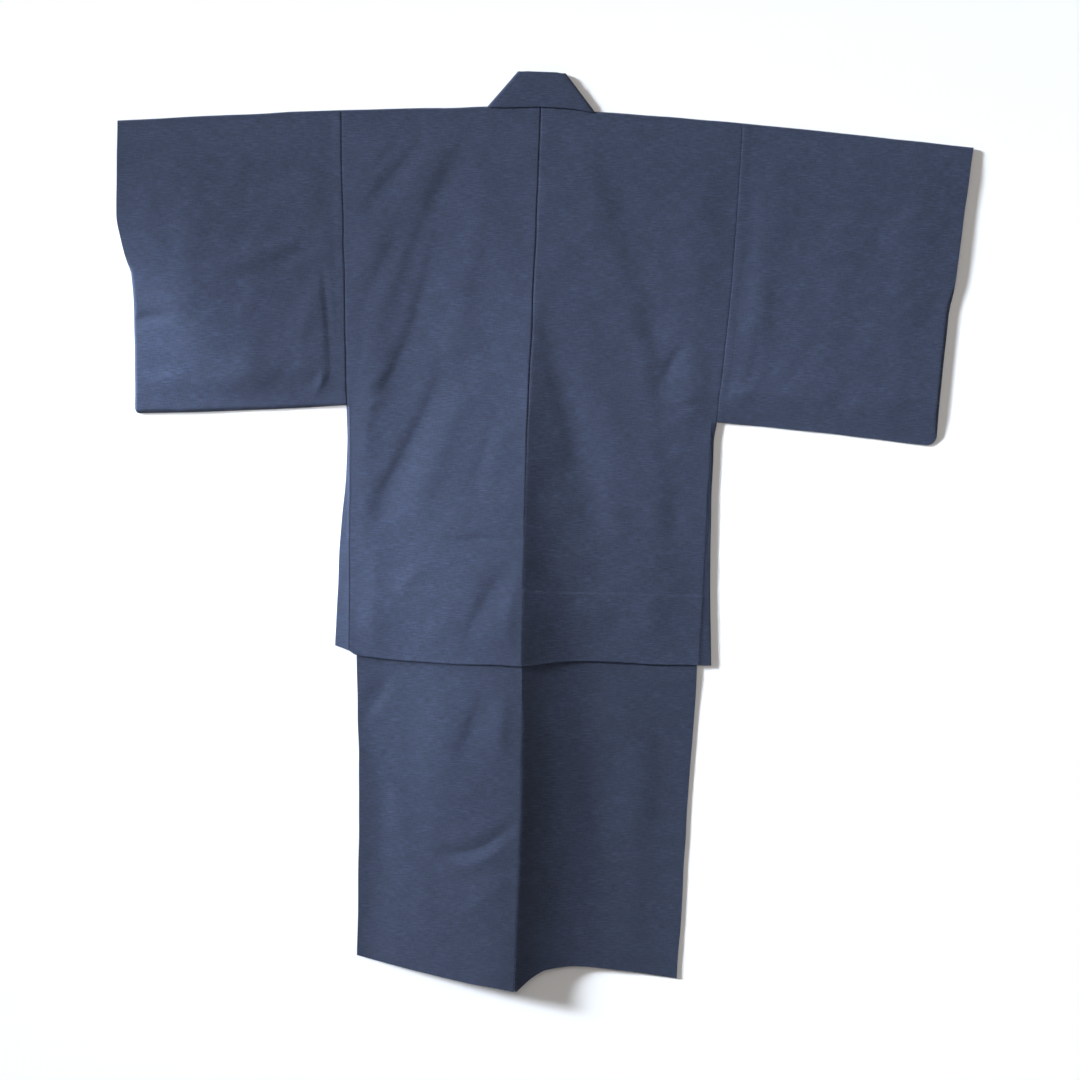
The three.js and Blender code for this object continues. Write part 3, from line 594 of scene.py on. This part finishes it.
def over_shoulder(at, columns, front, back):
    """A length of cloth from the front's lower edge over the shoulder to the back's.

    Returns its outer and inner corners, its own flat coordinates and which rows are the back's.
    """
    x_top = at["x"]("back", columns, at["top"](at["x"]("back", columns, np.zeros_like(columns))))
    y_top = at["top"](x_top)
    high, low = at["z"]("back", x_top, y_top), at["z"]("front", x_top, y_top)
    bend = np.where(columns < 0, 0, (high - low) / 2)
    turn = y_top - bend
    rows = [("front", s) for s in front[::-1]]
    rows += [("fold", degrees) for degrees in range(-75, 76, TURN_STEP)]
    rows += [("back", s) for s in back]
    outer, inner, flat = [], [], []
    for leg, amount in rows:
        if leg == "fold":
            angle = math.radians(amount)
            for side, grid in ((WALL / 2, outer), (-WALL / 2, inner)):
                reach = bend + side
                grid.append(np.stack([
                    x_top,
                    turn + reach * math.cos(angle),
                    (high + low) / 2 + reach * math.sin(angle),
                ], -1))
            flat.append(np.stack([x_top, turn + bend * (math.pi / 2 - angle)], -1))
            continue
        x = x_top
        for _ in range(3):  # x and y depend on each other a little
            y = mix(turn, at["end"](leg, x), amount)
            x = at["x"](leg, columns, y)
        z = at["z"](leg, x, y)
        lift = WALL / 2 if leg == "back" else -WALL / 2
        outer.append(np.stack([x, y, z + lift], -1))
        inner.append(np.stack([x, y, z - lift], -1))
        flat.append(np.stack([x, y if leg == "back" else 2 * turn + math.pi * bend - y], -1))
    grids = [np.stack(g, 1) for g in (outer, inner, flat)]
    return *grids, np.array([leg == "back" for leg, _ in rows])


def keep_folded(columns, is_back):
    """All cells, except that the neck's columns have only a back."""
    neck = columns[1:] <= 0
    both = is_back[1:] & is_back[:-1]
    return ~neck[:, None] | both[None, :]


def shoulder_top(half, out):
    return np.where(out < NECK, y_on(half["neck"], out), y_on(half["shoulder"], out))


def haori_body(name, half):
    sign = half["sign"]

    def outer_edge(leg, y):
        return np.where(
            y > half["armpit"] - UNDER_ARMPIT, sleeve_seam(half, leg, y), gusset_seam(half, y)
        ) - SEAM / 2

    def x_at(leg, column, y):
        neck = NECK + SEAM / 2
        return np.where(
            column >= 0,
            sign * mix(neck, outer_edge(leg, y[-1]), column),
            mix(sign * neck, centre(y) + sign * SEAM / 2, -column),
        )

    at = {
        "x": x_at,
        "top": lambda x: shoulder_top(half, np.abs(x)),
        "end": lambda leg, x: y_on(half["hem"], np.abs(x)),
        "z": lambda leg, x, y: (
            np.full(np.shape(x), FLOOR) if leg == "front" else haori_back(half, x, y)
        ),
    }
    columns = np.concatenate([divide(NECK)[:-1] - 1, divide(HAORI_ACROSS)])
    start = half["sleeve_seam"]["y"][0] - SHOULDER_TURN
    length = start - y_on(half["hem"], half["gusset"][1])
    armpit = (start - half["armpit"]) / length
    close_rows = np.array([-4, -2, 0, 2, 4, 6])  # from the hem's step
    hem_turn = (start - HEM_TURN + close_rows) / length
    back = np.unique(np.concatenate([
        divide(DOWN_TO_ARMPIT) * armpit, mix(armpit, 1, divide(BELOW_ARMPIT)), hem_turn,
    ]))
    front = np.unique(np.concatenate([
        np.linspace(0, armpit, 16), np.linspace(armpit + 0.004, 1, 12),
    ]))
    outer, inner, flat, is_back = over_shoulder(at, columns, front, back)
    return shell(name, outer, inner, keep_folded(columns, is_back), flat)


def all_cells(grid):
    return np.ones((grid.shape[0] - 1, grid.shape[1] - 1), bool)


def gusset(name, half):
    sign, turn_radius = half["sign"], half["edge_roll"]
    shares = divide(BELOW_ARMPIT)
    top = half["armpit"] - UNDER_ARMPIT
    middle = (half["hem"]["x"][-2] + half["hem"]["x"][-1]) / 2
    rough = mix(top, y_on(half["hem"], middle), shares)
    seam = gusset_seam(half, rough) + SEAM / 2
    edge = x_on(half["side"], rough) - EDGE_RADIUS - WALL / 2
    outer, inner, flat = [], [], []
    spans = [("front", s) for s in (0, 0.5)]
    spans += [("fold", degrees) for degrees in range(-90, 91, TURN_STEP)]
    spans += [("back", s) for s in (0.85, 0.7, 0.55, 0.4, 0.25, 0.12, 0.04, 0)]
    for along, (leg, amount) in enumerate(spans):
        for side, grid in ((WALL / 2, outer), (-WALL / 2, inner)):
            if leg == "fold":
                angle = math.radians(amount)
                x = edge + (EDGE_RADIUS + side) * math.cos(angle)
            else:
                x = mix(seam, edge, amount)
            ys = mix(top, y_on(half["hem"], x), shares)
            high = haori_back(half, sign * (seam - SEAM), ys)
            high = high + (0.3 + half["pressed"]) * bell(seam - x, 4)
            if leg == "fold":
                z = np.full_like(x, FLOOR + turn_radius + (turn_radius + side) * math.sin(angle))
            elif leg == "front":
                z = np.full_like(x, FLOOR - side)
            else:
                z = mix(high, FLOOR + 2 * turn_radius, amount**1.1) + side
                z = z + math.sin(math.pi * amount) * ripple(x, ys, "gusset")
            grid.append(np.stack([sign * x, ys, z], -1))
        flat.append(np.stack([np.full_like(ys, along * GUSSET_ROWS), ys], -1))
    outer, inner, flat = (np.stack(grid, 0) for grid in (outer, inner, flat))
    return shell(name, outer, inner, all_cells(outer), flat)


def sleeve(name, spec, columns, front, back):
    sign, corner = spec["sign"], spec["corner"]
    at = {
        "x": lambda leg, column, y: sign * mix(spec["inner"](leg, y), spec["cuff"](y), column),
        "top": lambda x: spec["top"](np.abs(x)),
        "end": lambda leg, x: spec["hem"](np.abs(x)),
        "z": spec["z"],
    }
    outer, inner, flat, _ = over_shoulder(at, columns, front, back)
    thickness = np.abs(outer[..., 2] - inner[..., 2])
    folded = thickness < WALL * 0.98  # where the cloth turns over the shoulder
    for grid in (outer, inner):
        x, y = grid[..., 0].copy(), grid[..., 1].copy()
        p = np.clip(1 - (spec["cuff"](y) - np.abs(x)) / corner, 0, 1)
        q = np.clip(1 - (y - spec["hem"](np.abs(x))) / corner, 0, 1)
        near = (p > 0) & (q > 0) & ~folded
        in_x = corner * p * (1 - np.sqrt(1 - q * q / 2))
        in_y = corner * q * (1 - np.sqrt(1 - p * p / 2))
        grid[..., 0] = np.where(near, x - sign * in_x, x)
        grid[..., 1] = np.where(near, y + in_y, y)
    return shell(name, outer, inner, all_cells(outer), flat)


def haori_sleeve(name, half):
    armpit = half["armpit"]

    def cuff(y):
        return x_on(half["cuff"], y)

    def hem(out):
        return np.where(out < half["sleeve_hem"]["x"][0], armpit, y_on(half["sleeve_hem"], out))

    def height(leg, x, y):
        if leg == "front":
            return np.full(np.shape(x), FLOOR)
        out = np.abs(x)
        to_cuff, to_hem = cuff(y) - out, y - hem(out)
        sewn = ease(half["cuff_end"] + 25, half["cuff_end"] - 10, y)
        from_seam = np.maximum(0, out - sleeve_seam(half, "back", y))
        slope = half["hem_slope"]
        shut = ease(slope, 0, to_hem) * ease(0, 70, from_seam)
        shut = np.maximum(shut, rolled(to_hem, LOWER_EDGE_RADIUS))
        closed = sewn * rolled(to_cuff, CUFF_RADIUS)
        shut = np.maximum(shut, closed)
        loose = SLEEVE_AIR + folds("sleeve", x, y) + ripple(x, y, "sleeve")
        loose = np.maximum(LEAST_AIR, loose)
        loose = loose * ease(-28, -100, y) * ease(slope * 0.4, 60, to_hem)
        loose = loose * mix(0.55, 1, ease(0, 110, to_cuff))
        air = mix(seam_air(half, y), loose, ease(0, 45, from_seam))
        fine = ripple(x, y, "sleeve, fine") * ease(0, 14, -y)
        allowance = 0.4 * ease(SEAM_ALLOWANCE, SEAM_ALLOWANCE - 3, from_seam)
        air = air * (1 - closed)
        base = FLOOR + LAYER * (3 - 2 * shut) + LIFT * (1 - shut)
        seam = half["pressed"] * upper_edge(from_seam) * (1 - ease(25, 5, to_hem))
        return base + air + fine + allowance + seam

    spec = {
        "sign": half["sign"],
        "corner": half["corner"],
        "inner": lambda leg, y: sleeve_seam(half, leg, y) + SEAM / 2,
        "cuff": cuff,
        "hem": hem,
        "top": lambda out: y_on(half["shoulder"], out),
        "z": height,
    }
    columns, front = divide(SLEEVE_ACROSS), np.linspace(0, 1, 26)
    return sleeve(name, spec, columns, front, divide(SLEEVE_DOWN))


# ---- the kimono
FRONT_SEAM = 45  # where a front's body length ends and its overlap is sewn on
COLLAR_END = (-48, -650)  # the collar's lower end, across the middle of the front
LAP_REACH = 105  # how far an overlap reaches across the middle
LAP_TOP = -249
LAP_STEP = 16  # from the collar's end to the overlap's next row


def slant(y):
    """How far out the kimono's collar is sewn to its front."""
    return mix(NECK, COLLAR_END[0], (y + 10) / (COLLAR_END[1] + 10))


def kimono_body(name, half, haori):
    sign = half["sign"]

    def x_at(leg, column, y):
        neck = NECK + SEAM / 2
        inner = np.clip(slant(y), FRONT_SEAM, NECK) + SEAM / 2
        start = inner if leg == "front" else neck
        return np.where(
            column < 0,
            mix(sign * neck, centre(y) + sign * SEAM / 2, -column),
            sign * mix(start, x_on(half["side"], y) - SEAM / 2, column),
        )

    at = {
        "x": x_at,
        "top": lambda x: shoulder_top(haori, np.abs(x)) - KIMONO_INSET,
        "end": lambda leg, x: (
            np.full(np.shape(x), half["front_hem"]) if leg == "front"
            else y_on(half["hem"], np.abs(x))
        ),
        "z": lambda leg, x, y: (
            kimono_front(half["rise"], x, y) if leg == "front" else kimono_back(x, y)
        ),
    }
    columns = np.concatenate([divide(NECK)[:-1] - 1, divide(KIMONO_ACROSS)])
    shown = 0.6
    back = np.unique(np.concatenate([
        np.linspace(0, shown, 40), mix(shown, 1, divide(KIMONO_SHOWN_DOWN)),
    ]))
    front = np.unique(np.concatenate([np.linspace(0, 0.63, 22), np.linspace(0.64, 1, 34)]))
    outer, inner, flat, is_back = over_shoulder(at, columns, front, back)
    return shell(name, outer, inner, keep_folded(columns, is_back), flat)


def lap(name, half):
    """The overlap piece sewn to a front, slanted above where the collar is sewn on."""
    sign = half["sign"]
    ys = np.concatenate([
        np.linspace(LAP_TOP, COLLAR_END[1], 18),
        np.linspace(COLLAR_END[1] - LAP_STEP, half["front_hem"], 56),
    ])
    seam = np.full_like(ys, FRONT_SEAM - SEAM / 2)
    edge = np.maximum(slant(ys), COLLAR_END[0]) + SEAM / 2
    shares = np.concatenate([np.linspace(0, 1, 9), np.linspace(1, 2, 7)[1:]])
    xs = np.where(
        shares[:, None] <= 1,
        mix(seam, edge, np.minimum(shares, 1)[:, None]),
        mix(edge, -LAP_REACH, np.maximum(shares - 1, 0)[:, None]),
    )
    y = np.broadcast_to(ys, xs.shape)
    z = kimono_front(half["rise"], sign * xs, y)
    outer = np.stack([sign * xs, y, z - WALL / 2], -1)
    inner = np.stack([sign * xs, y, z + WALL / 2], -1)
    narrow = shares[1:] <= 1
    low = ys[:-1] <= COLLAR_END[1]
    kept = narrow[:, None] | low[None, :]
    return shell(name, outer, inner, kept, np.stack([xs, y], -1))


def kimono_sleeve(name, half, haori):
    def hem(out):
        inside = np.maximum(out, haori["sleeve_hem"]["x"][0])
        return y_on(haori["sleeve_hem"], inside) + SLEEVE_INSET

    spec = {
        "sign": half["sign"],
        "corner": haori["corner"],
        "inner": lambda leg, y: x_on(half["side"], np.maximum(y, KIMONO_ARMPIT)) + SEAM / 2,
        "cuff": lambda y: x_on(haori["cuff"], y) - SLEEVE_INSET,
        "hem": hem,
        "top": lambda out: y_on(haori["shoulder"], out) - KIMONO_INSET,
        "z": lambda leg, x, y: np.full(
            np.shape(x), FLOOR + LAYER * (1 if leg == "front" else 2)
        ),
    }
    shares = np.concatenate([np.linspace(0, 0.95, 22), [0.965, 0.98, 0.99, 1]])
    return sleeve(name, spec, shares, shares, shares)


# ---- collars
def refine(stations, step=14):
    """The same stations with more between those that lie far apart."""
    stations = [np.array(station, float) for station in stations]
    finer = [stations[0]]
    for before, after in zip(stations, stations[1:]):
        pieces = max(1, math.ceil(np.linalg.norm(after[0] - before[0]) / step))
        finer += [mix(before, after, k / pieces) for k in range(1, pieces + 1)]
    return finer


def collar(name, back, arms):
    """A band round the neck, turned under along a slanting fold and run down each front.

    A station is one line across it: its sewn edge, its free edge and the way its outside faces.
    """
    sides = []
    for arm in arms:
        sign = arm["sign"]
        run = np.array(arm["fold_free"], float) - arm["fold_seam"]
        out = np.array([run[1], -run[0]]) / np.hypot(*run)
        across = np.hypot(*run) / run[1]
        bend = (back["high"] - arm["low"]) / 2
        mid = (back["high"] + arm["low"]) / 2
        side = []
        for seam, free in arm["down"][::-1]:
            side.append(((sign * seam[0], seam[1], arm["low"]),
                         (sign * free[0], free[1], arm["low"]), (0, 0, -1)))
        for degrees in range(-90, 91, TURN_STEP):
            angle = math.radians(degrees)
            reach = bend * math.cos(angle) - bend
            spots = [(sign * (p[0] + across * reach), p[1], mid + bend * math.sin(angle))
                     for p in (arm["fold_seam"], arm["fold_free"])]
            direction = (sign * out[0] * math.cos(angle), out[1] * math.cos(angle),
                         math.sin(angle))
            side.append((*spots, direction))
        for seam, free in back["stations"]:
            side.append(((sign * seam[0], seam[1], back["high"]),
                         (sign * free[0], free[1], back["high"]), (0, 0, 1)))
        sides.append(side)
    middle = ((0, back["middle"][0], back["high"]), (0, back["middle"][1], back["high"]),
              (0, 0, 1))
    t = np.linspace(0, 1, 21)[:, None]
    swell = back["swell"] * np.sin(np.pi * np.clip(t, 0.02, 0.98)) ** 0.35
    outer, inner = [], []
    for seam, free, out in refine([*sides[0], middle, *sides[1][::-1]]):
        line = seam + (free - seam) * t
        outer.append(line + out * (WALL / 2 + swell * max(0, out[2])))
        inner.append(line - out * (WALL / 2))
    outer, inner = np.stack(outer, 1), np.stack(inner, 1)
    return shell(name, outer, inner, all_cells(outer), outer[..., :2])


def straight_arm(end):
    sewn = NECK - SEAM / 2
    return [((sewn, -45), (33, -22)), ((sewn, -250), (31, -250)), ((sewn, -600), (30, -600)),
            ((sewn, end), (30, end))]


def slanted_arm():
    half = SEAM / 2
    return [
        ((slant(-45) - half, -45), (31, -30)),
        ((slant(-340) - half, -340), (slant(-340) - 57, -340)),
        ((COLLAR_END[0] - half, COLLAR_END[1] + SEAM), (-LAP_REACH, COLLAR_END[1] + SEAM)),
    ]


# ---- materials
THREAD = 0.45  # millimetres from one thread to the next


def set_inputs(node, values):
    for name, value in values.items():
        node.inputs[name].default_value = value


def cloth_material(name, dark, light, seed):
    """Navy plain weave with slubbed threads, a little uneven in the dye."""
    material = bpy.data.materials.new(name)
    material.use_nodes = True
    nodes, links = material.node_tree.nodes, material.node_tree.links
    shader = nodes["Principled BSDF"]

    def node(kind, **values):
        made = nodes.new(kind)
        for key, value in values.items():
            setattr(made, key, value)
        return made

    def math_node(operation, a, b=None):
        made = node("ShaderNodeMath", operation=operation)
        for socket, value in zip(made.inputs, (a, b)):
            if value is None:
                continue
            if isinstance(value, (int, float)):
                socket.default_value = value
            else:
                links.new(value, socket)
        return made.outputs[0]

    place = node("ShaderNodeUVMap", uv_map="weave")

    def noise(across, along, detail, offset):
        """Noise whose grain is across by along millimetres."""
        scale = node("ShaderNodeMapping")
        set_inputs(scale, {
            "Scale": (1000 / across, 1000 / along, 1),
            "Location": (offset, offset * 0.37, seed),
        })
        links.new(place.outputs[0], scale.inputs["Vector"])
        made = node("ShaderNodeTexNoise", noise_dimensions="3D")
        set_inputs(made, {"Scale": 1, "Detail": detail})
        links.new(scale.outputs[0], made.inputs["Vector"])
        return made.outputs["Fac"]

    def contrast(value, low, high):
        made = node("ShaderNodeMapRange", clamp=True)
        set_inputs(made, {"From Min": low, "From Max": high})
        links.new(value, made.inputs["Value"])
        return made.outputs[0]

    weft = contrast(noise(12, 1.5, 1, 3.1), 0.36, 0.64)
    warp = contrast(noise(1.4, 11, 1, 7.7), 0.36, 0.64)
    patches = contrast(noise(30, 22, 2, 17.9), 0.4, 0.62)
    slub = math_node("MULTIPLY", contrast(noise(20, 1.9, 0, 11.3), 0.45, 0.62), patches)
    fleck = contrast(noise(1.6, 1.6, 3, 5.9), 0.25, 0.75)
    cloud = contrast(noise(70, 110, 3, 1.3), 0.3, 0.7)
    tone = math_node("MULTIPLY", weft, 0.34)
    for part, share in ((warp, 0.18), (slub, 0.3), (fleck, 0.14), (cloud, 0.04)):
        tone = math_node("ADD", tone, math_node("MULTIPLY", part, share))
    ramp = node("ShaderNodeValToRGB")
    for stop, position, colour in zip(ramp.color_ramp.elements, (0.15, 0.85), (dark, light)):
        stop.position = position
        stop.color = (*colour, 1)
    links.new(tone, ramp.inputs["Fac"])
    links.new(ramp.outputs["Color"], shader.inputs["Base Color"])

    parts = node("ShaderNodeSeparateXYZ")
    links.new(place.outputs[0], parts.inputs[0])
    waves = [
        math_node("SINE", math_node("MULTIPLY", parts.outputs[k], math.pi * 1000 / THREAD))
        for k in (0, 1)
    ]
    weave = math_node("MULTIPLY", *waves)
    relief = math_node("ADD", math_node("MULTIPLY", weave, 0.35),
                       math_node("ADD", math_node("MULTIPLY", weft, 0.9),
                                 math_node("MULTIPLY", warp, 0.7)))
    bump = node("ShaderNodeBump")
    set_inputs(bump, {"Strength": 0.35, "Distance": 0.0003})
    links.new(relief, bump.inputs["Height"])
    links.new(bump.outputs[0], shader.inputs["Normal"])
    set_inputs(shader, {
        "Roughness": 0.88,
        "Specular IOR Level": 0.25,
        "Sheen Weight": 0.12,
        "Sheen Roughness": 0.45,
        "Sheen Tint": (1, 0.88, 0.8, 1),
    })
    return material


HAORI_CLOTH = cloth_material(
    "haori_cloth", dark=(0.026, 0.034, 0.0605), light=(0.0425, 0.057, 0.1035), seed=2.0,
)
KIMONO_CLOTH = cloth_material(
    "kimono_cloth", dark=(0.0225, 0.0298, 0.0533), light=(0.037, 0.0495, 0.0895), seed=9.0,
)


def add(node, build, *args):
    """Builds the cloth that stands for a CAD node, gives it its material, hides the node's part
    and hangs the cloth on the root body.
    """
    piece = build(node + "_cloth", *args)
    is_haori = node.startswith("haori")
    piece.data.materials.append(HAORI_CLOTH if is_haori else KIMONO_CLOTH)
    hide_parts(node)
    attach(piece, "root")


FLOOR_REACH = 9  # metres each way
FLOOR_GAP = 0.0006  # metres, so that the floor doesn't touch the cloth's underside
floor_mesh = bpy.data.meshes.new("floor")
corners = [(FLOOR_REACH * x, FLOOR_REACH * y, 0) for x, y in ((-1, -1), (1, -1), (1, 1), (-1, 1))]
floor_mesh.from_pydata(corners, [], [(0, 1, 2, 3)])
floor = show("floor", floor_mesh)
floor.location.z = -FLOOR_GAP
floor_paint = bpy.data.materials.new("floor_paint")
floor_paint.use_nodes = True
set_inputs(floor_paint.node_tree.nodes["Principled BSDF"], {
    "Base Color": (0.93, 0.93, 0.93, 1),
    "Roughness": 0.9,
})
floor_mesh.materials.append(floor_paint)

for side in ("left", "right"):
    add(f"haori_body_{side}", haori_body, HAORI[side])
    add(f"haori_gusset_{side}", gusset, HAORI[side])
    add(f"haori_sleeve_{side}", haori_sleeve, HAORI[side])
    add(f"kimono_body_{side}", kimono_body, KIMONO[side], HAORI[side])
    add(f"kimono_overlap_{side}", lap, KIMONO[side])
    add(f"kimono_sleeve_{side}", kimono_sleeve, KIMONO[side], HAORI[side])

# Each collar's back: its height, how far it swells, its edges' y at the centre seam, and its sewn
# and free edges on the way to the slanting folds. Then its left and its right arm: its height, the
# two ends of its slanting fold, and its edges down the front.
COLLAR_RISE = 1.8  # the haori's collar lies this much higher than its plain solid
add("haori_collar", collar, {
    "high": FLOOR + LAYER * 4 + LIFT + COLLAR_RISE,
    "swell": 1.1,
    "middle": (-0.8, 58),
    "stations": [((54, -3.0), (24, 58)), ((25, -1.7), (11, 58))],
}, [
    {"sign": -1, "low": FLOOR, "fold_seam": (91, -4.4), "fold_free": (40, 57.2),
     "down": straight_arm(-939)},
    {"sign": 1, "low": FLOOR, "fold_seam": (91, -7.4), "fold_free": (40, 56.4),
     "down": straight_arm(-936)},
])
add("kimono_collar", collar, {
    "high": FLOOR + LAYER * 3,
    "swell": 0.0,
    "middle": (-3, 49),
    "stations": [((54, -6), (24, 49)), ((25, -3.8), (11, 49))],
}, [
    {"sign": -1, "low": FLOOR + LAYER, "fold_seam": (85, -6.8), "fold_free": (36, 49),
     "down": slanted_arm()},
    {"sign": 1, "low": FLOOR + LAYER * 2, "fold_seam": (85, -9.2), "fold_free": (36, 49),
     "down": slanted_arm()},
])

# ---- camera and light
ROLL = math.radians(1.62)  # the set lies a little turned in the picture
VIEW_WIDTH = 1.8252  # metres across the picture, at the surface
VIEW_CENTRE = (0.019 + SHIFT[0] / 1000, -0.7315 + SHIFT[1] / 1000)
CAMERA_HEIGHT = 5.5
SENSOR = 36
camera_data = bpy.data.cameras.new("camera")
camera_data.sensor_width = SENSOR
camera_data.lens = SENSOR * CAMERA_HEIGHT / VIEW_WIDTH
camera = show("camera", camera_data)
camera.location = (*VIEW_CENTRE, CAMERA_HEIGHT)
camera.rotation_euler = (0, 0, ROLL)
bpy.context.scene.camera = camera


def lamp(name, place, target, size, power, colour, spread=180):
    """A round lamp that points from its place at its target, in metres, watts and degrees."""
    data = bpy.data.lights.new(name, "AREA")
    data.shape = "DISK"
    data.size = size
    data.energy = power
    data.color = colour
    data.spread = math.radians(spread)
    light = show(name, data)
    light.location = place
    toward = [t - p for t, p in zip(target, place)]
    length = math.hypot(*toward)
    light.rotation_euler = (
        math.acos(-toward[2] / length), 0, math.atan2(-toward[0], toward[1]),
    )


COOL = (0.9, 0.98, 1.09)
lamp("key", (-26.5, 8.7, 10.7), (0.0, -0.3, 0), size=8.0, power=370, colour=COOL, spread=16)
lamp("over the middle", (-9.3, 0.2, 3.57), (0.04, 0.2, 0), size=0.5, power=0.8, colour=COOL,
     spread=5)
lamp("across the cuff", (-1.66, 1.16, 0.38), (-0.63, 0.165, 0), size=0.2, power=0.9,
     colour=(0.86, 0.98, 1.16), spread=19)
lamp("fill", (0.4, 0.6, 6.0), (0, 0, 0), size=4.0, power=96, colour=(1, 0.955, 0.92))

# The surroundings are bright near the horizon and dim above it.
world = bpy.data.worlds.new("studio")
world.use_nodes = True
sky, sky_links = world.node_tree.nodes, world.node_tree.links
direction = sky.new("ShaderNodeTexCoord")
height = sky.new("ShaderNodeSeparateXYZ")
sky_links.new(direction.outputs["Generated"], height.inputs[0])
glow = sky.new("ShaderNodeMapRange")
set_inputs(glow, {"From Min": 0.03, "From Max": 0.2, "To Min": 0.9, "To Max": 0.12})
sky_links.new(height.outputs["Z"], glow.inputs["Value"])
sky_links.new(glow.outputs[0], sky["Background"].inputs["Strength"])
set_inputs(sky["Background"], {"Color": (1, 0.97, 0.94, 1)})
bpy.context.scene.world = world
bpy.context.scene.view_settings.view_transform = "Standard"
